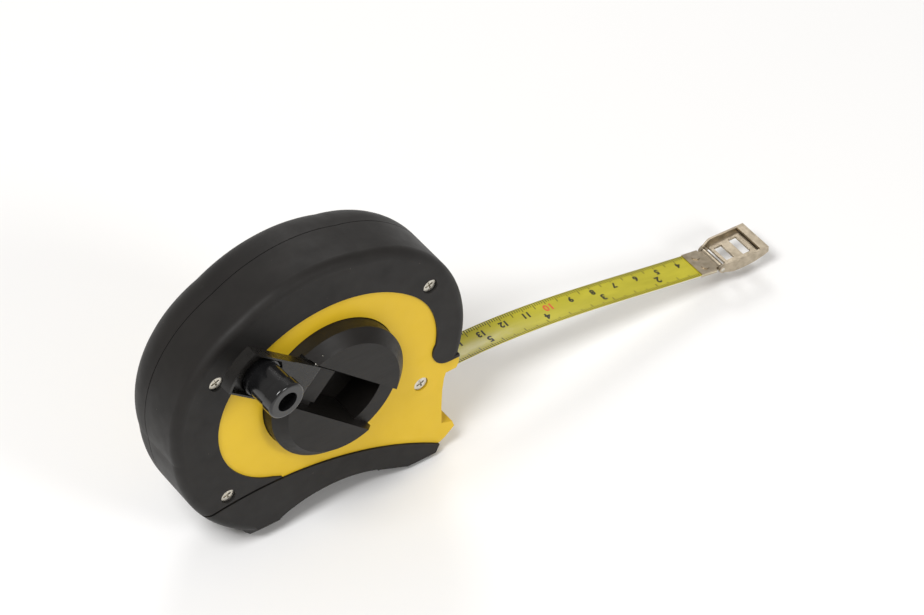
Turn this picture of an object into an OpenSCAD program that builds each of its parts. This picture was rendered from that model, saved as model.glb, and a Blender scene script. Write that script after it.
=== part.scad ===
// Closed-case winding tape measure: a two-shell case, a reel turned by a fold-out crank,
// and a steel blade that leaves through the mouth and ends in a hinged hook.
// X points the way the blade leaves, Y from the crank side to the back, Z up.
// The origin is on the plane that the case stands on, below the hub axis, midway through the case.

/* [Case] */
// Radius of the top of the case outline, over the rubber
top_r = 58.5; // [57.5:0.1:66]
// Depth of the front half, from the parting plane to its yellow face
front_t = 18; // [17.5:0.5:22]
// Depth of the rear half, from the parting plane to its yellow face
rear_t = 15.5; // [15:0.5:20]
// Height of the hub axis above the standing plane
hub_h = 60.3; // [59:0.1:64]
// Wall thickness of the yellow shells
wall = 2.2; // [1.8:0.1:2.6]
// Thickness of the rubber over the shells
rubber_t = 2.2; // [1.8:0.1:2.6]
// How far the rubber stands proud of the yellow faces
rubber_proud = 0.8; // [0.4:0.1:1.2]
// Radius of the rubber shoulder in front
front_shoulder = 3.5; // [3:0.5:5]
// Radius of the rubber shoulder behind
rear_shoulder = 13.4; // [11:0.1:14]
// Gap between neighbouring rubber pieces
seam = 0.3; // [0.2:0.1:0.6]
// Width of the open groove above the bottom grip
groove_w = 0.9; // [0.4:0.1:1.4]

/* [Reel] */
// Radius of the opening in the front shell for the crank disc
opening_r = 27.2; // [26:0.1:29]
// Radius of the drum that the blade is wound on
drum_r = 21; // [19:0.5:24]
// Outer radius of the wound blade
coil_r = 34.35; // [31:0.05:34.5]
// Radius of the reel flanges
flange_r = 39.2; // [37.5:0.1:39.5]
// Thickness of each reel flange
flange_t = 1.1; // [0.9:0.1:1.3]
// Radius of the spindle that the reel turns on
spindle_r = 5; // [4:0.5:6]
// Running clearance of the reel on its spindle
run_gap = 0.05; // [0.03:0.01:0.09]

/* [Crank] */
// Direction of the folded crank arm in the face, from level
crank_dir = -42.5; // [-90:0.5:90]
// Height of the crank disc above the yellow face
disc_h = 9.2; // [8.6:0.1:10]
// Width of the channel across the crank disc
channel_w = 17.5; // [17:0.1:19]
// Distance of the crank hinge from the hub axis
hinge_t = 20.3; // [19.5:0.1:21]
// Radius of the crank hinge pin
hinge_pin_r = 0.9; // [0.8:0.05:1.1]
// Thickness of the crank arm at its hinge
arm_t = 4; // [3.6:0.1:4.4]
// Clearance of the crank arm in its channel, each side
arm_gap = 0.5; // [0.3:0.1:0.8]
// Angle by which the opened arm stops short of flat
open_tilt = 7; // [0:0.5:10]
// Distance of the knob from the crank hinge
knob_d = 26; // [24:0.5:27]
// Radius of the knob
knob_r = 7.2; // [6.5:0.1:7.5]
// Height of the knob end above the middle of the arm
knob_h = 15.5; // [14:0.1:15.8]
// Radius of the hole in the end of the knob
knob_bore_r = 3.9; // [3.6:0.1:4.4]

/* [Blade] */
// Width of the blade
blade_w = 13; // [12:0.5:13]
// Thickness of the blade with its coating
blade_t = 0.3; // [0.2:0.05:0.4]
// Length of blade drawn out of the mouth, to its end in the clip
blade_out = 129.5; // [100:0.5:200]
// Bending of the drawn blade just outside the mouth, degrees per millimetre
droop = 0.245; // [0.1:0.005:0.26]
// Easing of that bending along the blade, degrees per millimetre squared
droop_ease = 0.00138; // [0.0008:0.00001:0.0014]

/* [Hook] */
// Length of the hook frame beyond its pin
hook_len = 20.4; // [18:0.1:26]
// Width of the hook frame at its end
hook_w = 16; // [15:0.5:20]
// Angle of the hook above the line of its clip
hook_tilt = 9; // [0:1:20]
// Height of the hook walls above the pin
hook_h = 2.7; // [2.4:0.1:3.2]
// Thickness of the pressed steel of hook and clip
steel_t = 0.9; // [0.7:0.1:1]
// Radius of the hook pin
hook_pin_r = 0.8; // [0.7:0.05:0.9]

/* [Hidden] */
$fn = 96;

YELLOW = [0.92, 0.74, 0.10];
BLACK = [0.10, 0.10, 0.11];
STEEL = [0.70, 0.69, 0.66];

FRONT = 0;
REAR = 1;
face_t = [front_t, rear_t];              // yellow faces, from the parting plane
skin_t = [front_t + rubber_proud, rear_t + rubber_proud];
shoulder = [front_shoulder, rear_shoulder];
skin_f = skin_t[FRONT];
disc_f = front_t + disc_h;               // height of the crank disc's face
tiny = 0.01;                             // how far a cut runs past a face

// Outline of the case, seen from the crank side, from the hub axis
// centre and radius of the three circles that the outline follows, left, top and right
rounds = [[-15.7, 2.4, top_r - 11.4], [-3.5, -4.1, top_r], [5.4, 0.8, top_r - 7.1]];
arch_r = 50.2;                           // the grip arch under the case
arch_x = -1.8;
arch_z = 12 - arch_r - hub_h;
groove_r = 133.3;                        // the curved joint above the bottom grip
groove_x = -26.8;
groove_z = -106.9 - hub_h;
oval_r = 31;                             // right end of the oval yellow face
oval_x = 13.3;
oval_left_r = 31.7;
oval_left = [-13.8, -1.5];
oval_side_r = 50.3;
oval_top_z = -14;
oval_bottom_z = 12.6;
tongue_r = 6.6;                          // round end of the rubber above the mouth
tongue_x = rounds[2][0] + rounds[2][2] - 7.8;
tongue_z = -9.7;
lip_x = 46.2;                            // upright edge of the case below the mouth
mouth_z = -(coil_r + 0.3 + blade_t / 2); // height of the blade as it leaves
mouth_h = 4.2;                           // height of the opening
blade_side_gap = 0.35;
guide_wall = 1.2;
guide_x = 37.5;                          // where the guide starts
guide_len = 7;

// Case screws: x and z from the hub axis
screw_at = [[41.6, 23.4], [-44.9, 24.7], [-42.9, -30.1], [37.7, -21.8]];
screw_r = 1.5;
screw_head_r = 2.7;
screw_head_t = 1.7;
screw_sink = 0.6;                        // head below the yellow face
screw_depth = 1;                         // head below the rubber face
screw_tip_f = -10;
boss_r = 3.3;
screw_gap = 0.06;

// Reel, measured forward from the parting plane
coil_half = blade_w / 2 + 0.1;
plate_f = coil_half + 0.1 + flange_t;    // front of the front flange
cup_floor_t = 1;
cup_floor_f = plate_f + cup_floor_t;     // floor of the crank pocket
web_room = 5.8;                          // behind the front flange, for the spindle's screw
web_f = plate_f - web_room;              // front of the drum's web
web_t = 2;
hub_r = spindle_r + 3;
reel_screw_at = [[-14, 0], [5, 14.6], [5, -14.6]];
reel_screw_r = 1.2;

// Crank disc
disc_r = opening_r - 0.3;
disc_face_r = 22.75;
disc_edge_f = front_t + 5.15;             // where the straight rim turns into the slope
rim_f = front_t + 3.5;                    // floor of the channel
shelf_f = disc_f - arm_t - 0.35;
shelf_hw = channel_w / 2 - 2.15;
pocket_r = 20;                           // round end of the pocket
pocket_t = -7;                           // its other end
cup_wall = 1.4;
hinge_f = disc_f - arm_t / 2;
arm_hw = channel_w / 2 - arm_gap;
arm_end_r = pocket_r - 0.4;
arm_lip_t = 1.3;                          // end lip of the arm
arm_side_t = arm_hw - knob_r - 0.35;      // its side walls, clear of the knob
arm_lip_h = 4.4;
arm_floor_t = 1.8;
post_r = 2.6;                            // post that the knob turns on
post_w = 6;                              // its end, above the middle of the arm
tray_r = knob_r + 1.2;                    // round tray about the knob
knob_gap = 0.08;

// Hook end of the blade
bend_x = 66;                             // where the free blade starts to droop
blade_steps = 28;

function droop_at(q) = -droop * q + droop_ease * q * q;
function blade_x(q) = q <= 0 ? bend_x + q : blade_x(q - 1) + cos(droop_at(q - 0.5));
function blade_z(q) = q <= 0 ? mouth_z : blade_z(q - 1) + sin(droop_at(q - 0.5));
free_q = blade_out - (bend_x - 50);      // the mouth is 50 mm from the hub axis
tip_x = blade_x(free_q);
tip_z = blade_z(free_q);
tip_a = droop_at(free_q);

// Placing helpers. In the face frame, x is X, y is Z and z points forward from the parting plane.
module face_frame() {
    translate([0, 0, hub_h]) rotate([90, 0, 0]) children();
}
module slab(f0, f1) {
    face_frame() translate([0, 0, f0]) linear_extrude(f1 - f0) children();
}
module rod(f0, f1, r, x = 0, z = 0) {
    face_frame() translate([x, z, f0]) cylinder(h = f1 - f0, r = r);
}
// In the crank frame, x runs along the folded arm and y along the hinge pin.
module crank_frame() {
    face_frame() rotate([0, 0, crank_dir]) children();
}
module crank_slab(f0, f1) {
    crank_frame() translate([0, 0, f0]) linear_extrude(f1 - f0) children();
}
// In the arm frame, x runs from the hinge to the end of the arm and z away from the case.
module arm_frame() {
    crank_frame() translate([-hinge_t, 0, hinge_f]) rotate([0, open_tilt, 0]) rotate([0, 0, 180]) children();
}
module arm_slab(w0, w1) {
    arm_frame() translate([0, 0, w0]) linear_extrude(w1 - w0) children();
}
// In the tip frame, x runs on along the blade from its end and z is square to its face.
module tip_frame() {
    translate([tip_x, 0, hub_h + tip_z]) rotate([0, -tip_a, 0]) children();
}

// Outlines, seen from the crank side. e insets them evenly.
lip_top = -21.8;
arch_l = -21.8;
arch_rx = 18.5;
heel_x = -26.6;
toe_x = 36;
function arch_top(x) = arch_z + sqrt(arch_r * arch_r - (x - arch_x) * (x - arch_x));
module arch_2d(e) {
    intersection() {
        translate([arch_x, arch_z]) circle(arch_r + e);
        translate([arch_l - e, -hub_h - 1]) square([arch_rx - arch_l + 2 * e, 30]);
    }
    polygon([
        [heel_x - e, -hub_h - 5], [heel_x - e, -hub_h],
        [arch_l - 0.6 - 0.8 * e, arch_top(arch_l) - 0.4 + 0.6 * e], [arch_l + 3, arch_top(arch_l) - 1],
        [arch_rx - 3, arch_top(arch_rx) - 1], [arch_rx + 0.6 + 0.4 * e, arch_top(arch_rx) - 0.4 + 0.9 * e],
        [toe_x + 2.2 * e, -hub_h], [toe_x, -hub_h - 5]
    ]);
}
// Nose and toe, in front of the round outline
module nose_2d(e) {
    polygon([
        [15, -15], [53.6 - e, -15], [53.8 - e, -19.4], [52.7 - e, lip_top], [48.2 - e, lip_top - 0.1],
        [47.4 - e, -24.3], [46.6 - e, -29.7], [lip_x - e, -38], [lip_x - e, -45.8], [50.8 - e, -47.3],
        [51.6 - e, -49.9], [47.7 - e, -53.3], [44.8 - e, -54.9], [44.2 - e, -56], [43.2 - e, -58 + e],
        [40.7 - e, -59.4 + e], [38 - e, -hub_h + e], [38 - e, -hub_h - 3], [15, -hub_h - 3]
    ]);
}
heel_back = [[-38, -50.5], [-35, -55.8]];  // the steep edge at its back
module heel_2d(e) {
    polygon([
        [-40 + e, -48], heel_back[0] + [e, e], heel_back[1] + [e, e],
        [-28.7, -hub_h + e], [-28.7, -hub_h - 3],
        [-20, -hub_h - 3], [-20, -45]
    ]);
}
// Everything below the case and in front of its mouth, which is cut away
module outside_2d(e) {
    arch_2d(e);
    translate([-101, -hub_h - 40]) square([202, 40 + e]);
}
module below_lip_2d(e) {
    translate([15, lip_top - 60 + e]) square([60, 60]);
}
module oval_2d() {
    intersection() {
        translate([0, oval_top_z]) circle(oval_side_r);
        translate([0, oval_bottom_z]) circle(oval_side_r);
        square([2 * 34.4, 100], center = true);
    }
    translate([oval_x, 0]) circle(oval_r);
    translate(oval_left) circle(oval_left_r);
}
module below_groove_2d(grow = 0) {
    translate([groove_x, groove_z]) circle(groove_r + grow, $fn = 240);
}
// The open groove where rubber lies on both sides of it
module groove_2d() {
    intersection() {
        below_groove_2d(groove_w);
        translate([-100, -100]) square([100 - 24, 200]);
    }
}
// Where the side faces are rubber above the groove, drawn past the outline
module rubber_2d() {
    difference() {
        translate([-100, -100]) square([200, 200]);
        oval_2d();
        below_groove_2d(groove_w);
        translate([-8, tongue_z - 100]) square([110, 100]);
    }
    translate([tongue_x, tongue_z]) circle(tongue_r);
    translate([tongue_x, tongue_z - tongue_r]) square([20, tongue_r + 1]);
}
// Rounded case half, standing forward from the parting plane, inset evenly by e
module dome(half, e) {
    top = skin_t[half] - e;
    edge = max(shoulder[half] - e, 0.4);
    face_frame() for (round = rounds) {
        r = round[2] - e;
        translate([round[0], round[1], 0]) rotate_extrude($fn = 180) {
            square([r - edge, top]);
            square([r, top - edge]);
            translate([r - edge, top - edge]) intersection() {
                circle(edge, $fn = 64);
                square(edge);
            }
        }
    }
}
// Wedge that slants the underside of the heel or the toe up to the face
module foot_cut(half, e, x0, x1, run, rise) {
    top = skin_t[half] - e;
    bottom = -hub_h + e;
    translate([x0, 0, hub_h]) rotate([90, 0, 90]) linear_extrude(x1 - x0) polygon([
        [-top + 2 * run, bottom - rise], [-top - run, bottom + 2 * rise], [-top - 20, bottom - rise]
    ]);
}
// Wedge that bevels the back of the heel where it stands out of the round case
module heel_bevel(half, e) {
    width = half == FRONT ? 4 : 9;
    along = heel_back[1] - heel_back[0];
    face_frame() translate([heel_back[1][0] + e, heel_back[1][1] + e, skin_t[half] - e]) {
        rotate([0, 0, atan2(along[1], along[0])]) rotate([90, 0, 90]) linear_extrude(40, center = true) {
            polygon([[-width, -2 * width], [2 * width, width], [-width, width]]);
        }
    }
}
module case_solid(half, e) {
    top = skin_t[half] - e;
    difference() {
        union() {
            difference() {
                dome(half, e);
                slab(-1, top + 1) below_lip_2d(e);
            }
            slab(0, top) nose_2d(e);
            difference() {
                slab(0, top) heel_2d(e);
                heel_bevel(half, e);
            }
        }
        slab(-1.5, top + 1.5) outside_2d(e);
        foot_cut(half, e, -60, -15, 6.1, 6.8);
        foot_cut(half, e, 25, 60, 1.7, 2.1);
    }
}
// What the yellow shell fills under the rubber, and its bare yellow face
module shell_core(half) {
    case_solid(half, rubber_t);
}
module shell_face(half) {
    difference() {
        case_solid(half, 0);
        slab(face_t[half], skin_t[half] + 1) translate([-100, -100]) square([200, 200]);
        slab(-1, skin_t[half] + 1) {
            rubber_2d();
            below_groove_2d();
            groove_2d();
        }
    }
}
module screw_bosses(half) {
    for (at = screw_at) {
        rod(0, skin_t[half] - rubber_t, boss_r, at[0], at[1]);
    }
}
function screw_seat(i) = i == 3
    ? front_t - screw_sink - screw_head_t
    : skin_f - screw_depth - screw_head_t;
module cavity(half) {
    top = skin_t[half] - rubber_t - wall;
    intersection() {
        dome(half, rubber_t + wall);
        slab(-tiny, top) translate([-100, -24]) square([200, 100]);
    }
    rod(-tiny, top, min(flange_r + 4.2, 43.7));
}
// Solid block that holds the blade guide
module mouth_block(half) {
    slab(0, skin_t[half] - rubber_t) {
        translate([guide_x - 1.5, mouth_z - 6]) square([lip_x - guide_x + 1, 15]);
    }
}
module mouth_cuts() {
    side = blade_w / 2 + blade_side_gap;
    slab(-tiny, side) translate([guide_x - 16, mouth_z - mouth_h / 2]) square([46, mouth_h]);
    slab(-tiny, side + guide_wall) translate([guide_x, mouth_z - mouth_h / 2 - guide_wall])
        square([guide_len, mouth_h + 2 * guide_wall]);
}
module shell_half(half) {
    difference() {
        union() {
            difference() {
                union() {
                    shell_core(half);
                    shell_face(half);
                }
                cavity(half);
            }
            intersection() {
                union() {
                    screw_bosses(half);
                    mouth_block(half);
                }
                shell_core(half);
            }
        }
        mouth_cuts();
    }
}
module front_shell() color(YELLOW) {
    difference() {
        shell_half(FRONT);
        rod(10, skin_f, opening_r);
        rod(10, front_t - wall, opening_r + 4);
        for (i = [0 : len(screw_at) - 1]) {
            rod(-tiny, skin_f, screw_r + screw_gap, screw_at[i][0], screw_at[i][1]);
            rod(screw_seat(i), skin_f, screw_head_r + 0.2, screw_at[i][0], screw_at[i][1]);
        }
    }
}
spindle_head_r = 7.5;
spindle_head_t = 1.6;
cap_r = 15;
cap_t = 1.4;
cap_sink = 0.8;
hub_boss_f = plate_f + 0.4;              // how near the rear boss stands to the reel
module rear_shell() color(YELLOW) {
    mirror([0, 1, 0]) difference() {
        union() {
            shell_half(REAR);
            rod(hub_boss_f, rear_t - 1, 11);
        }
        rod(hub_boss_f - 1, rear_t, spindle_r);
        rod(rear_t - cap_sink - spindle_head_t, rear_t, spindle_head_r);
        rod(rear_t - cap_sink, rear_t + 1, cap_r);
        for (at = screw_at) {
            rod(-tiny, 0.5 - screw_tip_f, screw_r + screw_gap, at[0], at[1]);
        }
    }
}
module overmould_half(half) {
    intersection() {
        difference() {
            case_solid(half, 0);
            shell_core(half);
        }
        slab(seam / 2, skin_t[half] + 1) rubber_2d();
    }
}
module front_overmould() color(BLACK) {
    difference() {
        overmould_half(FRONT);
        for (at = screw_at) {
            rod(10, skin_f + 1, screw_head_r + 0.2, at[0], at[1]);
        }
    }
}
module rear_overmould() color(BLACK) {
    mirror([0, 1, 0]) overmould_half(REAR);
}
module grip_half(half) {
    difference() {
        intersection() {
            case_solid(half, 0);
            slab(seam / 2, skin_t[half] + 1) below_groove_2d(-0.1);
        }
        shell_core(half);
    }
}
module front_grip() color(BLACK) {
    grip_half(FRONT);
}
module rear_grip() color(BLACK) {
    mirror([0, 1, 0]) grip_half(REAR);
}
module cross_recess(top, size, x, z) {
    face_frame() translate([x, z, top]) for (turn = [20, 110]) {
        rotate([0, 0, turn]) cube([size, size / 4.5, 1.6], center = true);
    }
}
module case_screws() color(STEEL) {
    for (i = [0 : len(screw_at) - 1]) {
        difference() {
            union() {
                rod(screw_tip_f, screw_seat(i), screw_r, screw_at[i][0], screw_at[i][1]);
                rod(screw_seat(i), screw_seat(i) + screw_head_t, screw_head_r,
                    screw_at[i][0], screw_at[i][1]);
            }
            cross_recess(screw_seat(i) + screw_head_t, 3.2, screw_at[i][0], screw_at[i][1]);
        }
    }
}
module blade_guide() color(BLACK) {
    side = blade_w / 2 + blade_side_gap;
    outer_side = side + guide_wall - 0.05;
    difference() {
        slab(-outer_side, outer_side) translate([guide_x + 0.05, mouth_z - mouth_h / 2 - guide_wall + 0.05])
            square([guide_len - 0.1, mouth_h + 2 * guide_wall - 0.1]);
        slab(-side, side) translate([guide_x - 1, mouth_z - mouth_h / 2]) square([guide_len + 2, mouth_h]);
    }
}

// Reel
spindle_end_f = web_f + web_t + 0.1;
washer_t = 0.8;
module spindle() color(STEEL) {
    difference() {
        union() {
            rod(-(rear_t - cap_sink), spindle_end_f, spindle_r);
            rod(-(rear_t - cap_sink), -(rear_t - cap_sink - spindle_head_t), spindle_head_r);
        }
        rod(spindle_end_f - 8, spindle_end_f + 1, 1.5);
    }
}
module spindle_washer() color(STEEL) {
    difference() {
        rod(spindle_end_f, spindle_end_f + washer_t, hub_r - 1);
        rod(spindle_end_f - 1, spindle_end_f + 2, 1.6);
    }
}
module spindle_screw() color(STEEL) {
    top = spindle_end_f + washer_t + 1.5;
    difference() {
        union() {
            rod(spindle_end_f - 7, top, 1.5);
            rod(spindle_end_f + washer_t, top, 3.2);
        }
        cross_recess(top, 3.6, 0, 0);
    }
}
module rear_cap() color(BLACK) {
    difference() {
        rod(-(rear_t - cap_sink + cap_t), -(rear_t - cap_sink), cap_r - 0.1);
        rod(-(rear_t - cap_sink + cap_t + 1), -(rear_t - cap_sink + cap_t - 0.3), cap_r - 2.5);
    }
}
module at_reel_screws() {
    for (at = reel_screw_at) {
        crank_frame() translate([at[0], at[1], 0]) children();
    }
}
module reel_drum() color(BLACK) {
    edge = coil_half + 0.1;
    difference() {
        union() {
            difference() {
                rod(-edge, edge, drum_r);
                rod(-edge, edge + 1, drum_r - 2);
            }
            rod(-plate_f, -edge, flange_r);
            rod(web_f, web_f + web_t, drum_r - 1);
            rod(-plate_f, web_f + web_t, hub_r);
            at_reel_screws() translate([0, 0, web_f]) cylinder(h = edge - web_f, r = 2.6);
        }
        rod(-plate_f - 1, web_f + web_t + 1, spindle_r + run_gap);
        at_reel_screws() translate([0, 0, web_f - 1]) cylinder(h = 10, r = reel_screw_r + 0.05);
        face_frame() translate([-(drum_r - 1), 0, -edge + 0.5]) cylinder(h = 2 * edge - 1, r = anchor_r);
    }
}
module reel_plate() color(BLACK) {
    difference() {
        rod(plate_f - flange_t, plate_f, flange_r);
        at_reel_screws() translate([0, 0, 0]) cylinder(h = 20, r = reel_screw_r + 0.05);
    }
}
reel_screw_tip_f = plate_f + 5;
module reel_screws() color(STEEL) {
    at_reel_screws() translate([0, 0, web_f]) {
        cylinder(h = reel_screw_tip_f - web_f, r = reel_screw_r);
        translate([0, 0, -1.3]) cylinder(h = 1.3, r = 2.2);
    }
}
anchor_r = 0.7;
module blade_anchor() color(STEEL) {
    face_frame() translate([-(drum_r - 1), 0, -coil_half + 0.6]) {
        cylinder(h = 2 * coil_half - 1.2, r = anchor_r - 0.02);
    }
}
module blade_coil() color([0.80, 0.74, 0.16]) {
    difference() {
        rod(-coil_half, coil_half, coil_r);
        rod(-coil_half - 1, coil_half + 1, drum_r + run_gap);
    }
}

// Crank disc, arm and knob
module pocket_2d(grow = 0) {
    intersection() {
        circle(pocket_r + grow);
        translate([pocket_t - grow, -channel_w / 2 - grow]) square([60, channel_w + 2 * grow]);
    }
}
module disc_bosses() {
    at_reel_screws() translate([0, 0, plate_f]) cylinder(h = rim_f - plate_f, r = 3);
}
collar_f = front_t - wall - 1.8;          // collar that keeps the disc behind the front face
disc_skin = 2.2;
module disc_blank() {
    difference() {
        union() {
            rod(collar_f, disc_edge_f, disc_r);
            rod(collar_f, collar_f + 1.4, disc_r + 2.4);
            face_frame() translate([0, 0, disc_edge_f])
                cylinder(h = disc_f - disc_edge_f, r1 = disc_r, r2 = disc_face_r);
        }
        rod(collar_f - 1, rim_f - disc_skin, disc_r - disc_skin);
    }
    crank_slab(plate_f, rim_f) pocket_2d(cup_wall);
    intersection() {
        disc_bosses();
        rod(0, disc_f, disc_r - 1);
    }
}
module crank_disc() color(BLACK) {
    difference() {
        disc_blank();
        crank_slab(rim_f, disc_f + 1) square([80, channel_w], center = true);
        crank_slab(cup_floor_f, disc_f) pocket_2d();
        at_reel_screws() translate([0, 0, plate_f - 1]) cylinder(h = 6.5, r = reel_screw_r);
        crank_pin_rod(0);
    }
    crank_slab(rim_f, shelf_f) translate([-17, -shelf_hw]) square([17 + pocket_t, 2 * shelf_hw]);
}
crank_pin_len = 24.6;
module crank_pin_rod(shorter) {
    crank_frame() translate([-hinge_t, 0, hinge_f]) rotate([90, 0, 0])
        cylinder(h = crank_pin_len - shorter, r = hinge_pin_r, center = true);
}
module crank_pin() color(STEEL) {
    crank_pin_rod(0.2);
}
module arm_2d(end = 0, side = 0) {
    intersection() {
        union() {
            translate([hinge_t, 0]) circle(arm_end_r - end);
            translate([0, -20]) square([hinge_t, 40]);
        }
        translate([0, -arm_hw + side]) square([60, 2 * (arm_hw - side)]);
    }
}
module crank_arm() color(BLACK) {
    low = -arm_t / 2;
    difference() {
        union() {
            arm_slab(low, low + arm_floor_t) arm_2d();
            // solid root, hollowed round the knob
            arm_slab(low, -low) difference() {
                intersection() {
                    arm_2d();
                    square([2 * knob_d, 40], center = true);
                }
                translate([knob_d, 0]) circle(tray_r);
            }
            // side walls and the curved end lip
            arm_slab(low, low + arm_lip_h) difference() {
                arm_2d();
                arm_2d(arm_lip_t, arm_side_t);
                translate([-1, -20]) square([16, 40]);
            }
            arm_frame() rotate([90, 0, 0]) cylinder(h = 2 * arm_hw, r = arm_t / 2, center = true);
            arm_frame() translate([knob_d, 0, low]) cylinder(h = post_w - low, r = post_r);
        }
        arm_frame() rotate([90, 0, 0]) cylinder(h = 3 * arm_hw, r = hinge_pin_r + 0.05, center = true);
        arm_frame() translate([knob_d, 0, 0]) cylinder(h = 20, r = 1.1);
    }
}
knob_base_w = -arm_t / 2 + arm_floor_t + 0.2;
module knob() color(BLACK) {
    arm_frame() translate([knob_d, 0, 0]) rotate_extrude() difference() {
        union() {
            translate([0, knob_base_w]) square([knob_r, 2.2]);
            translate([0, knob_base_w]) square([knob_r - 0.5, knob_h - knob_base_w - 1]);
            translate([0, knob_h - 4.4]) square([knob_r, 3.4]);
            translate([0, knob_h - 2]) square([knob_r - 1, 2]);
            translate([knob_r - 1, knob_h - 1]) circle(1);
        }
        translate([0, knob_base_w - 1]) square([post_r + knob_gap, 30]);
        translate([0, post_w - 0.1]) square([knob_bore_r, 30]);
        translate([-50, -50]) square([50, 100]);
    }
}
module knob_washer() color(STEEL) {
    arm_frame() translate([knob_d, 0, post_w]) difference() {
        cylinder(h = 0.5, r = knob_bore_r - 0.2);
        translate([0, 0, -1]) cylinder(h = 3, r = 1.2);
    }
}
module knob_screw() color(STEEL) {
    arm_frame() translate([knob_d, 0, post_w + 0.5]) difference() {
        union() {
            cylinder(h = 1.6, r = 2.6);
            translate([0, 0, -6]) cylinder(h = 6, r = 1.1);
        }
        translate([0, 0, 1.6]) for (turn = [0, 90]) {
            rotate([0, 0, turn]) cube([3.2, 0.7, 1.6], center = true);
        }
    }
}

// Blade, clip and hook
blade_in = 64;                           // straight blade inside, back to the coil
function blade_q(i) = i * free_q / blade_steps;
function edge_point(q, side) = [
    blade_x(q) - side * blade_t / 2 * sin(droop_at(max(q, 0))),
    blade_z(q) + side * blade_t / 2 * cos(droop_at(max(q, 0)))
];
module blade() color([0.80, 0.74, 0.16]) {
    slab(-blade_w / 2, blade_w / 2) polygon(concat(
        [edge_point(-blade_in, 1)],
        [for (i = [0 : blade_steps]) edge_point(blade_q(i), 1)],
        [for (i = [blade_steps : -1 : 0]) edge_point(blade_q(i), -1)],
        [edge_point(-blade_in, -1)]
    ));
}
clip_back = 7.3;                         // strap over the blade
pin_x = 2.5;                               // hook pin beyond the end of the blade
clip_t = 0.5;
clip_gap = 0.05;                         // between the strap and the blade
loop_r = hook_pin_r + 0.05 + 0.55;
loop_hw = 5.2;
module clip_strap(z) {
    translate([-clip_back, -blade_w / 2, z]) cube([clip_back + pin_x - 2.6, blade_w, clip_t]);
    translate([-clip_back, -loop_hw, z]) cube([clip_back + pin_x, 2 * loop_hw, clip_t]);
}
module blade_clip() color(STEEL) {
    difference() {
        tip_frame() {
            clip_strap(blade_t / 2 + clip_gap);
            clip_strap(-blade_t / 2 - clip_t - clip_gap);
            translate([0.1, -loop_hw, -blade_t / 2 - 0.1]) cube([pin_x - 0.6, 2 * loop_hw, blade_t + 0.2]);
            translate([pin_x, 0, 0]) rotate([90, 0, 0]) cylinder(h = 2 * loop_hw, r = loop_r, center = true);
        }
        tip_frame() translate([pin_x, 0, 0]) rotate([90, 0, 0])
            cylinder(h = 20, r = hook_pin_r + 0.05, center = true);
        tip_frame() rivet_places() translate([0, 0, -5]) cylinder(h = 10, r = rivet_r);
    }
}
rivet_r = 0.9;
module rivet_places() {
    for (side = [-1, 1]) {
        translate([-3.3, side * 3, 0]) children();
    }
}
module clip_rivets() color(STEEL) {
    head = blade_t / 2 + clip_t + clip_gap;
    tip_frame() rivet_places() {
        for (side = [-1, 1]) {
            translate([0, 0, side > 0 ? head : -head - 0.35]) cylinder(h = 0.35, r = 1.5);
            translate([0, 0, side > 0 ? blade_t / 2 + clip_gap : -head]) cylinder(h = clip_t, r = rivet_r);
        }
    }
}
module hook_pin() color(STEEL) {
    tip_frame() translate([pin_x, 0, 0]) rotate([90, 0, 0])
        cylinder(h = 2 * hinge_hw, r = hook_pin_r, center = true);
}
hinge_hw = 6.8;                          // half width of the frame at its pin
hook_belly = 2.2;                        // depth of its side walls below the pin
module hook_frame() {
    tip_frame() translate([pin_x, 0, 0]) rotate([0, -hook_tilt, 0]) children();
}
module hook_2d(inset) {
    polygon([
        [-1.3 + inset, -hinge_hw + inset], [0.8, -hinge_hw + inset], [4.2, -hook_w / 2 + inset],
        [hook_len - inset, -hook_w / 2 + inset], [hook_len - inset, hook_w / 2 - inset],
        [4.2, hook_w / 2 - inset], [0.8, hinge_hw - inset], [-1.3 + inset, hinge_hw - inset]
    ]);
}
module hook_slab(w0, w1) {
    hook_frame() translate([0, 0, w0]) linear_extrude(w1 - w0) children();
}
// Side walls, deeper in their middle and cut round at the pin
module hook_profile() {
    hook_frame() rotate([90, 0, 0]) linear_extrude(hook_w + 2, center = true) polygon([
        [-1.3, -0.8], [-0.8, -1.3], [0, -1.6], [4, -0.88 * hook_belly], [9, -hook_belly],
        [14, -0.88 * hook_belly], [hook_len - 2.4, -0.5 * hook_belly], [hook_len, -0.2],
        [hook_len, hook_h - 0.4], [2.8, hook_h], [1.2, 0.85 * hook_h], [0, 1.9], [-0.8, 1.4], [-1.3, 0.8]
    ]);
}
window_u = [3.6, 10.9];
window_len = 3.6;
window_w = [8, 9.4];
module hook() color(STEEL) {
    difference() {
        union() {
            intersection() {
                hook_slab(-hook_belly, hook_h) difference() {
                    hook_2d(0);
                    hook_2d(steel_t);
                    translate([-5, -loop_hw - 0.3]) square([8, 2 * loop_hw + 0.6]);
                }
                hook_profile();
            }
            // floor with its two windows
            hook_slab(0, steel_t) difference() {
                intersection() {
                    hook_2d(0.1);
                    translate([2.4, -20]) square([hook_len, 40]);
                }
                for (i = [0, 1]) {
                    translate([window_u[i], -window_w[i] / 2]) square([window_len, window_w[i]]);
                }
            }
            // flat top of the end wall
            hook_slab(hook_h - 0.4 - steel_t, hook_h - 0.4) translate([hook_len - 3.3, -hook_w / 2])
                square([3.3, hook_w]);
            // ears on the pin
            hook_frame() rotate([90, 0, 0]) difference() {
                cylinder(h = 2 * hinge_hw, r = 1.5, center = true);
                cylinder(h = 2 * loop_hw + 0.6, r = 3, center = true);
            }
        }
        hook_frame() rotate([90, 0, 0]) cylinder(h = 30, r = hook_pin_r + 0.03, center = true);
    }
}

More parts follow.
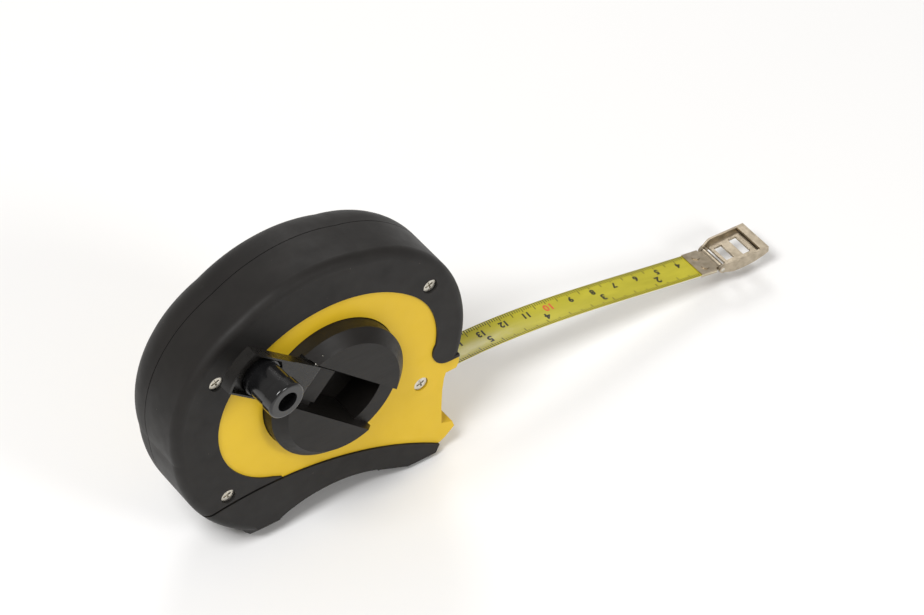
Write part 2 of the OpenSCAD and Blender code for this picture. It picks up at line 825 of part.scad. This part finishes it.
front_shell();
rear_shell();
front_overmould();
rear_overmould();
front_grip();
rear_grip();
case_screws();
blade_guide();
spindle();
spindle_washer();
spindle_screw();
rear_cap();
reel_drum();
reel_plate();
reel_screws();
crank_disc();
crank_pin();
crank_arm();
knob();
knob_washer();
knob_screw();
blade_coil();
blade_anchor();
blade();
blade_clip();
clip_rivets();
hook_pin();
hook();
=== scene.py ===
"""Long tape measure with a folding crank: its finishes, printed scale, floor, lights and camera."""

import math

import bpy
from mathutils import Matrix, Vector


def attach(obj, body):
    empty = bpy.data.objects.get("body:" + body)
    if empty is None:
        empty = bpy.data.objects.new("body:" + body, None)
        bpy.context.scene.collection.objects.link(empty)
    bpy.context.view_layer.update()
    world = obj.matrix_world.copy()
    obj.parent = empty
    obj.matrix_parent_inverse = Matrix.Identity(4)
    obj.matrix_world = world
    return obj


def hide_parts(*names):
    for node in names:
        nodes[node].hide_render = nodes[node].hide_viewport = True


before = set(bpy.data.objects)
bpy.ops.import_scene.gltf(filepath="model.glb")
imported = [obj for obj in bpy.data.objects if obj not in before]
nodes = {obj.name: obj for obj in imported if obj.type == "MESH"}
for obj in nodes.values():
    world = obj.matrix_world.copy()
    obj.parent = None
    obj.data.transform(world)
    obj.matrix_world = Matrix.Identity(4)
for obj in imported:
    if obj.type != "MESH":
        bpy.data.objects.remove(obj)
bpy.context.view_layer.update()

MM = 0.001                      # a millimetre in metres, the frame's unit


# ---------------------------------------------------------------- finishes
class Finish:
    """A Principled material whose patterns run through the row frame, in metres."""

    def __init__(self, name, **sockets):
        self.material = bpy.data.materials.new(name)
        self.material.use_nodes = True
        self.tree = self.material.node_tree
        self.shader = self.tree.nodes["Principled BSDF"]
        self.where = self.add("ShaderNodeTexCoord").outputs["Object"]
        for socket, value in sockets.items():
            self.shader.inputs[socket.replace("_", " ")].default_value = value

    def add(self, kind, **settings):
        node = self.tree.nodes.new(kind)
        for key, value in settings.items():
            setattr(node, key, value)
        return node

    def stretched(self, size, stretch):
        """The place, measured in patches of size metres, longer along the axes where stretch is over 1."""
        mapping = self.add("ShaderNodeMapping")
        mapping.inputs["Scale"].default_value = [1 / (size * part) for part in stretch]
        self.tree.links.new(self.where, mapping.inputs["Vector"])
        return mapping.outputs["Vector"]

    def noise(self, size, detail, stretch=(1, 1, 1)):
        node = self.add("ShaderNodeTexNoise")
        node.inputs["Scale"].default_value = 1.0
        node.inputs["Detail"].default_value = detail
        self.tree.links.new(self.stretched(size, stretch), node.inputs["Vector"])
        return node.outputs["Fac"]

    def specks(self, spacing, radius):
        """1 in small dots about spacing apart, 0 between them."""
        node = self.add("ShaderNodeTexVoronoi")
        node.inputs["Scale"].default_value = 1.0
        self.tree.links.new(self.stretched(spacing, (1, 1, 1)), node.inputs["Vector"])
        return self.ramp(node.outputs["Distance"], [(0, 1), (radius / spacing, 0)])

    def ramp(self, value, stops):
        """Colour or grey that follows value through stops of (place, colour)."""
        node = self.add("ShaderNodeValToRGB")
        while len(node.color_ramp.elements) < len(stops):
            node.color_ramp.elements.new(0.5)
        for element, (place, colour) in zip(node.color_ramp.elements, stops):
            element.position = place
            rgb = (colour, colour, colour) if isinstance(colour, (int, float)) else colour
            element.color = (*rgb, 1)
        self.tree.links.new(value, node.inputs["Fac"])
        return node.outputs["Color"]

    def mix(self, factor, under, over, share):
        """over laid on under where factor is 1, at most as strongly as share."""
        scaled = self.add("ShaderNodeMath", operation="MULTIPLY")
        scaled.inputs[1].default_value = share
        self.tree.links.new(factor, scaled.inputs[0])
        node = self.add("ShaderNodeMix", data_type="RGBA")
        self.tree.links.new(scaled.outputs[0], node.inputs["Factor"])
        self.tree.links.new(under, node.inputs[6])
        node.inputs[7].default_value = (*over, 1)
        return node.outputs[2]

    def put(self, output, socket):
        self.tree.links.new(output, self.shader.inputs[socket])

    def bump(self, *layers):
        """Bump from layers of (height, strength, depth in metres), the coarsest first."""
        normal = None
        for height, strength, depth in layers:
            node = self.add("ShaderNodeBump")
            node.inputs["Strength"].default_value = strength
            node.inputs["Distance"].default_value = depth
            self.tree.links.new(height, node.inputs["Height"])
            if normal:
                self.tree.links.new(normal, node.inputs["Normal"])
            normal = node.outputs["Normal"]
        self.put(normal, "Normal")


def moulded_rubber():
    """Matt black rubber with a fine spark grain, a little dust and paler scuffs."""
    made = Finish("moulded rubber", Sheen_Weight=0.04, Sheen_Roughness=0.5, Specular_IOR_Level=0.24)
    cloud = made.ramp(made.noise(14 * MM, 5),
                      [(0.3, (0.0080, 0.0070, 0.0064)), (0.7, (0.0135, 0.0120, 0.0108))])
    dusty = made.mix(made.specks(5.5 * MM, 0.16 * MM), cloud, (0.30, 0.24, 0.19), 0.7)
    made.put(dusty, "Base Color")
    made.put(made.ramp(made.noise(6 * MM, 4), [(0.25, 0.52), (0.75, 0.66)]), "Roughness")
    made.bump((made.noise(9 * MM, 2), 0.12, 0.15 * MM), (made.noise(0.35 * MM, 2), 0.35, 0.03 * MM))
    return made.material


def yellow_plastic():
    """Satin yellow moulding with faint flow clouding and a fine texture."""
    made = Finish("yellow plastic", Specular_IOR_Level=0.3, Coat_Weight=0.05, Coat_Roughness=0.35)
    cloud = made.ramp(made.noise(22 * MM, 4),
                      [(0.3, (0.67, 0.435, 0.013)), (0.7, (0.73, 0.485, 0.020))])
    grimy = made.mix(made.specks(7 * MM, 0.14 * MM), cloud, (0.35, 0.20, 0.03), 0.45)
    made.put(grimy, "Base Color")
    made.put(made.ramp(made.noise(5 * MM, 4), [(0.25, 0.40), (0.75, 0.54)]), "Roughness")
    made.bump((made.noise(0.3 * MM, 2), 0.22, 0.02 * MM))
    return made.material


def semi_matt_black():
    """Dark warm-grey moulding of the crank's disc, with handling marks."""
    made = Finish("semi matt black plastic", Specular_IOR_Level=0.26)
    cloud = made.ramp(made.noise(11 * MM, 5),
                      [(0.3, (0.0070, 0.0060, 0.0052)), (0.7, (0.0120, 0.0104, 0.0090))])
    made.put(made.mix(made.specks(8 * MM, 0.13 * MM), cloud, (0.25, 0.2, 0.16), 0.5), "Base Color")
    rub = made.noise(1.2 * MM, 3, (7, 1, 1))
    made.put(made.ramp(rub, [(0.3, 0.36), (0.7, 0.48)]), "Roughness")
    made.bump((made.noise(0.28 * MM, 2), 0.25, 0.02 * MM))
    return made.material


def gloss_black():
    """Glossy black knob with hairline scratches."""
    made = Finish("gloss black plastic", Specular_IOR_Level=0.4, Coat_Weight=0.25, Coat_Roughness=0.08)
    cloud = made.ramp(made.noise(9 * MM, 4),
                      [(0.3, (0.0045, 0.0045, 0.005)), (0.7, (0.009, 0.009, 0.0095))])
    made.put(cloud, "Base Color")
    made.put(made.ramp(made.noise(3 * MM, 5), [(0.3, 0.13), (0.75, 0.27)]), "Roughness")
    made.bump((made.noise(0.5 * MM, 3, (12, 1, 12)), 0.06, 0.02 * MM))
    return made.material


def arm_black():
    """Satin black moulding of the folding arm, rubbed smoother in places."""
    made = Finish("satin black plastic", Specular_IOR_Level=0.3)
    cloud = made.ramp(made.noise(7 * MM, 4),
                      [(0.3, (0.006, 0.0055, 0.005)), (0.7, (0.0105, 0.0095, 0.0085))])
    made.put(made.mix(made.specks(7 * MM, 0.12 * MM), cloud, (0.25, 0.2, 0.16), 0.4), "Base Color")
    made.put(made.ramp(made.noise(2 * MM, 5), [(0.3, 0.24), (0.75, 0.36)]), "Roughness")
    made.bump((made.noise(0.3 * MM, 2), 0.12, 0.02 * MM))
    return made.material


def zinc_steel():
    """Zinc-plated steel: bright, slightly cloudy and pitted."""
    made = Finish("zinc plated steel", Metallic=1.0)
    cloud = made.ramp(made.noise(1.3 * MM, 5), [(0.3, (0.50, 0.47, 0.40)), (0.7, (0.74, 0.71, 0.64))])
    made.put(cloud, "Base Color")
    made.put(made.ramp(made.noise(0.7 * MM, 4), [(0.3, 0.24), (0.7, 0.42)]), "Roughness")
    made.bump((made.noise(0.5 * MM, 3), 0.25, 0.02 * MM))
    return made.material


def warm_steel():
    """Pressed hook steel, satin and a little tarnished, brushed along the blade."""
    made = Finish("satin hook steel", Metallic=1.0)
    tarnish = made.noise(2.6 * MM, 5)
    cloud = made.ramp(tarnish, [(0.3, (0.36, 0.305, 0.225)), (0.7, (0.55, 0.475, 0.365))])
    made.put(cloud, "Base Color")
    brushed = made.noise(0.25 * MM, 3, (14, 1, 1))
    made.put(made.ramp(brushed, [(0.25, 0.32), (0.75, 0.5)]), "Roughness")
    made.bump((tarnish, 0.10, 0.05 * MM), (brushed, 0.12, 0.012 * MM))
    return made.material


def blade_enamel():
    """Yellow-green enamel of the blade's printed side, under a clear coat."""
    made = Finish("blade enamel", Coat_Weight=0.25, Coat_Roughness=0.2, Specular_IOR_Level=0.4)
    worn = made.noise(3.5 * MM, 5, (4, 1, 1))
    paint = made.ramp(worn, [(0.25, (0.40, 0.355, 0.010)), (0.75, (0.50, 0.445, 0.020))])
    made.put(paint, "Base Color")
    made.put(made.ramp(made.noise(1.5 * MM, 4), [(0.3, 0.32), (0.7, 0.46)]), "Roughness")
    made.bump((made.noise(0.6 * MM, 2, (3, 1, 1)), 0.10, 0.01 * MM))
    return made.material


def blade_back():
    """Pale lacquer on the blade's underside."""
    made = Finish("blade underside", Specular_IOR_Level=0.5)
    lacquer = made.ramp(made.noise(3 * MM, 4, (4, 1, 1)),
                        [(0.3, (0.62, 0.57, 0.42)), (0.7, (0.72, 0.68, 0.55))])
    made.put(lacquer, "Base Color")
    made.put(made.ramp(made.noise(1.5 * MM, 3), [(0.3, 0.3), (0.7, 0.42)]), "Roughness")
    return made.material


def ink(name, thin, full):
    """Printing ink, slightly thin in places."""
    made = Finish(name, Specular_IOR_Level=0.35)
    made.put(made.ramp(made.noise(0.5 * MM, 3), [(0.25, thin), (0.6, full)]), "Base Color")
    made.put(made.ramp(made.noise(0.8 * MM, 2), [(0.3, 0.42), (0.7, 0.55)]), "Roughness")
    return made.material


def floor_paper():
    """Plain pale studio paper."""
    made = Finish("studio paper", Specular_IOR_Level=0.2)
    made.put(made.ramp(made.noise(0.25, 3), [(0.2, 0.86), (0.8, 0.88)]), "Base Color")
    made.put(made.ramp(made.noise(0.01, 3), [(0.3, 0.86), (0.7, 0.92)]), "Roughness")
    return made.material


RUBBER, YELLOW = moulded_rubber(), yellow_plastic()
DISC, GLOSS, ARM = semi_matt_black(), gloss_black(), arm_black()
ZINC, HOOK_STEEL, ENAMEL, UNDERSIDE = zinc_steel(), warm_steel(), blade_enamel(), blade_back()
INK_BLACK = ink("black ink", (0.045, 0.042, 0.012), (0.016, 0.015, 0.010))
INK_RED = ink("red ink", (0.55, 0.16, 0.03), (0.62, 0.09, 0.03))

FINISHES = [
    (RUBBER, ["front_overmould", "rear_overmould", "front_grip", "rear_grip"]),
    (YELLOW, ["front_shell", "rear_shell"]),
    (DISC, ["blade_guide", "rear_cap", "reel_drum", "reel_plate", "crank_disc"]),
    (GLOSS, ["knob"]),
    (ARM, ["crank_arm"]),
    (ZINC, ["case_screws", "spindle", "spindle_washer", "spindle_screw", "reel_screws", "crank_pin",
            "knob_washer", "knob_screw", "blade_anchor", "hook_pin"]),
    (HOOK_STEEL, ["blade_clip", "clip_rivets", "hook"]),
    (ENAMEL, ["blade", "blade_coil"]),
]
for finish, names in FINISHES:
    for name in names:
        slots = nodes[name].material_slots
        for slot in slots:
            slot.material = finish
        if not slots:
            nodes[name].data.materials.append(finish)


# ---------------------------------------------------------------- the blade
BLADE_HALF = 6.5 * MM           # half the blade's width
BLADE_THICK = 0.3 * MM
BEND_X = 66 * MM                # where the free blade starts to droop
MOUTH_Z = 25.5 * MM             # the blade's height in the mouth
DROOP = math.radians(-0.245) / MM            # how fast the blade turns down, at first
DROOP_EASE = math.radians(0.00138) / MM ** 2  # and how that eases along it
BLADE_START, BLADE_END = -64 * MM, 113.5 * MM  # the blade's ends, along it from BEND_X
CUP = 0.9 * MM                  # how far the blade's edges stand up where it leaves the mouth
CUP_RISE = (-40 * MM, -22 * MM)  # where along it the dish forms, inside the case
CUP_FALL = (0, 95 * MM)         # and where it flattens out again
STEP = 0.5 * MM                 # between the points of the centre line
ROWS, COLUMNS = 178, 12         # quads along the strip and across it


def droop_line(length):
    """Centre line as points (x, z, turn) every STEP from BEND_X."""
    points = [(BEND_X, MOUTH_Z, 0.0)]
    for i in range(int(length / STEP) + 2):
        x, z, _ = points[-1]
        middle = (i + 0.5) * STEP
        turn = DROOP * middle + DROOP_EASE * middle ** 2
        after = (i + 1) * STEP
        points.append((x + STEP * math.cos(turn), z + STEP * math.sin(turn),
                       DROOP * after + DROOP_EASE * after ** 2))
    return points


LINE = droop_line(BLADE_END + 5 * MM)


def eased(value, start, end):
    """0 before start, 1 after end and smooth between."""
    share = min(max((value - start) / (end - start), 0.0), 1.0)
    return share * share * (3 - 2 * share)


def on_blade(along, across, height):
    """The point at a distance along the blade, across it (to the back) and above its middle surface."""
    if along <= 0:
        x, z, turn = BEND_X + along, MOUTH_Z, 0.0
    else:
        place = along / STEP
        i = min(int(place), len(LINE) - 2)
        part = place - i
        x, z, turn = (a + (b - a) * part for a, b in zip(LINE[i], LINE[i + 1]))
    cup = CUP * eased(along, *CUP_RISE) * (1 - eased(along, *CUP_FALL))
    height += cup * (across / BLADE_HALF) ** 2
    return Vector((x - height * math.sin(turn), across, z + height * math.cos(turn)))


def mesh_object(name, vertices, faces, material, body="blade"):
    mesh = bpy.data.meshes.new(name)
    mesh.from_pydata(vertices, [], faces)
    mesh.update()
    mesh.materials.append(material)
    piece = bpy.data.objects.new(name, mesh)
    bpy.context.scene.collection.objects.link(piece)
    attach(piece, body)
    return piece


def cupped_blade():
    """The blade as a thin strip, dished across its width where it leaves the mouth."""
    vertices, faces = [], []
    for i in range(ROWS + 1):
        along = BLADE_START + (BLADE_END - BLADE_START) * i / ROWS
        ring = [(-BLADE_HALF + 2 * BLADE_HALF * j / COLUMNS, BLADE_THICK / 2) for j in range(COLUMNS + 1)]
        ring += [(across, -BLADE_THICK / 2) for across, _ in reversed(ring)]
        vertices += [on_blade(along, across, height) for across, height in ring]
    around = 2 * (COLUMNS + 1)
    for i in range(ROWS):
        for j in range(around):
            a, b = i * around + j, i * around + (j + 1) % around
            faces.append((a, a + around, b + around, b))
    faces.append(tuple(range(around)))
    faces.append(tuple(ROWS * around + j for j in reversed(range(around))))
    piece = mesh_object("blade_strip", vertices, faces, ENAMEL)
    piece.data.materials.append(UNDERSIDE)
    for face in piece.data.polygons:
        ring_place = face.index % around if face.index < ROWS * around else -1
        on_top = 0 <= ring_place < COLUMNS
        face.material_index = 0 if on_top else 1
        face.use_smooth = on_top or COLUMNS < ring_place < around - 1
    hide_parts("blade")
    return piece


# ---------------------------------------------------------------- the printed scale
INK = 0.02 * MM                 # thickness of the print
INK_GAP = 0.004 * MM            # between the print and the enamel
ZERO = 136.4 * MM               # the scale's zero, along the blade from BEND_X
SCALE_FROM, SCALE_TO = 31, 199  # the blade shows the scale's millimetres from the first to below the second
TICK = 0.28 * MM                # width of a tick
NUMBER_AHEAD = 5 * MM           # a centimetre's number stands this far before its line
INCH = 25.4 * MM
INCH_AHEAD = 3.4 * MM           # and an inch's number this far
CM_ROW, INCH_ROW = 2.4 * MM, -1.6 * MM   # across the blade, from its middle to the back
SMALL_DIGIT, LARGE_DIGIT = 2.6 * MM, 3.1 * MM  # how tall the digits are
DIGIT_HEIGHT = 0.72             # height of a digit as a share of the font's size
DIGIT_BOLD = 0.17 * MM          # how far a digit's outline is thickened
DIGIT_SPACING = 1.05
TICKS = {10: 2.9 * MM, 5: 2.1 * MM, 1: 1.5 * MM}  # how long a tick is at whole tens, fives and ones
EDGE_MARGIN = 0.15 * MM         # between a tick and the blade's edge


def printed(name, parts, material):
    """One piece from parts, each a list of (along, across, height) and its faces."""
    vertices, faces = [], []
    for points, polygons in parts:
        first = len(vertices)
        vertices += [on_blade(a, c, BLADE_THICK / 2 + INK_GAP + h) for a, c, h in points]
        faces += [tuple(first + i for i in polygon) for polygon in polygons]
    return mesh_object(name, vertices, faces, material)


def bar(along, width, edge, inner):
    """A tick as a thin box from the blade's edge inwards."""
    low, high = min(edge, inner), max(edge, inner)
    points = [(along + dx, across, h) for h in (0, INK)
              for dx, across in ((-width / 2, low), (width / 2, low), (width / 2, high), (-width / 2, high))]
    sides = [(i, (i + 1) % 4, 4 + (i + 1) % 4, 4 + i) for i in range(4)]
    return points, [(3, 2, 1, 0), (4, 5, 6, 7)] + sides


def number(text, along, across, height):
    """Digits that read from the blade's far side."""
    curve = bpy.data.curves.new("digits", "FONT")
    curve.body = text
    curve.size = height / DIGIT_HEIGHT
    curve.offset = DIGIT_BOLD
    curve.space_character = DIGIT_SPACING
    curve.resolution_u = 4
    curve.extrude = INK / 2
    curve.align_x, curve.align_y = "CENTER", "CENTER"
    holder = bpy.data.objects.new("digits", curve)
    bpy.context.scene.collection.objects.link(holder)
    bpy.context.view_layer.update()
    mesh = bpy.data.meshes.new_from_object(holder.evaluated_get(bpy.context.evaluated_depsgraph_get()))
    points = [(along - v.co.x, across - v.co.y, INK / 2 + v.co.z) for v in mesh.vertices]
    polygons = [tuple(p.vertices) for p in mesh.polygons]
    bpy.data.objects.remove(holder)
    bpy.data.curves.remove(curve)
    bpy.data.meshes.remove(mesh)
    return points, polygons


def ticks():
    edge = BLADE_HALF - EDGE_MARGIN
    for count in range(SCALE_FROM, SCALE_TO):
        long = next(length for whole, length in TICKS.items() if count % whole == 0)
        along = ZERO - count * MM
        yield bar(along, TICK, -edge, -edge + long)
        yield bar(along, TICK, edge, edge - long)


cupped_blade()
printed("scale_ticks", list(ticks()), INK_BLACK)
for name, tens, height, colour in (("scale_centimetres", False, SMALL_DIGIT, INK_BLACK),
                                   ("scale_decimetre", True, LARGE_DIGIT, INK_RED)):
    printed(name,
            [number(str(cm), ZERO + NUMBER_AHEAD - 10 * cm * MM, CM_ROW, height)
             for cm in range(math.ceil(SCALE_FROM / 10), SCALE_TO // 10 + 1) if (cm % 10 == 0) == tens],
            colour)
printed("scale_inches",
        [number(str(inch), ZERO + INCH_AHEAD - inch * INCH, INCH_ROW, LARGE_DIGIT)
         for inch in range(math.ceil(SCALE_FROM * MM / INCH), int(SCALE_TO * MM / INCH) + 1)],
        INK_BLACK)


# ---------------------------------------------------------------- floor, lights and camera
FLOOR_REACH = 4.0               # metres from the middle to each edge
WORLD_COLOUR, WORLD_STRENGTH = (1.0, 0.965, 0.92, 1), 0.38
LIGHTS = [                      # name, place, diameter, power in watts
    ("key", (-0.75, -0.35, 1.35), 0.6, 18),
    ("front", (0.45, -1.5, 0.9), 0.5, 9),
    ("back", (0.6, 1.0, 0.9), 0.5, 5),
]
LIT_POINT = Vector((0, 0, 0.06))  # what every light points at
CAMERA_PLACE = (-0.52563, -0.86113, 1.02694)
CAMERA_RIGHT = (0.82201, -0.56948, -0.00229)
CAMERA_UP = (0.39114, 0.56165, 0.72909)
CAMERA_BACK = (-0.41391, -0.60021, 0.68442)
LENS, SENSOR = 157.55, 36       # millimetres of focal length and of sensor width
CAMERA_SHIFT = (-0.00158, 0.00043)
CAMERA_CLIP = (0.05, 20)


def studio_floor():
    mesh = bpy.data.meshes.new("floor")
    reach = FLOOR_REACH
    mesh.from_pydata([(-reach, -reach, 0), (reach, -reach, 0), (reach, reach, 0), (-reach, reach, 0)],
                     [], [(0, 1, 2, 3)])
    mesh.materials.append(floor_paper())
    floor = bpy.data.objects.new("floor", mesh)
    bpy.context.scene.collection.objects.link(floor)


def area_light(name, place, size, power):
    light = bpy.data.lights.new(name, "AREA")
    light.shape, light.size, light.energy = "DISK", size, power
    holder = bpy.data.objects.new(name, light)
    bpy.context.scene.collection.objects.link(holder)
    holder.location = place
    holder.rotation_euler = (LIT_POINT - Vector(place)).to_track_quat("-Z", "Y").to_euler()


def studio_world():
    world = bpy.data.worlds.new("studio")
    world.use_nodes = True
    background = world.node_tree.nodes["Background"]
    background.inputs["Color"].default_value = WORLD_COLOUR
    background.inputs["Strength"].default_value = WORLD_STRENGTH
    bpy.context.scene.world = world


def place_camera():
    data = bpy.data.cameras.new("camera")
    data.lens, data.sensor_width = LENS, SENSOR
    data.shift_x, data.shift_y = CAMERA_SHIFT
    data.clip_start, data.clip_end = CAMERA_CLIP
    camera = bpy.data.objects.new("camera", data)
    bpy.context.scene.collection.objects.link(camera)
    axes = Matrix((CAMERA_RIGHT, CAMERA_UP, CAMERA_BACK)).transposed()
    camera.matrix_world = Matrix.Translation(CAMERA_PLACE) @ axes.to_4x4()
    bpy.context.scene.camera = camera


studio_floor()
studio_world()
for light in LIGHTS:
    area_light(*light)
place_camera()
bpy.context.scene.view_settings.view_transform = "Standard"
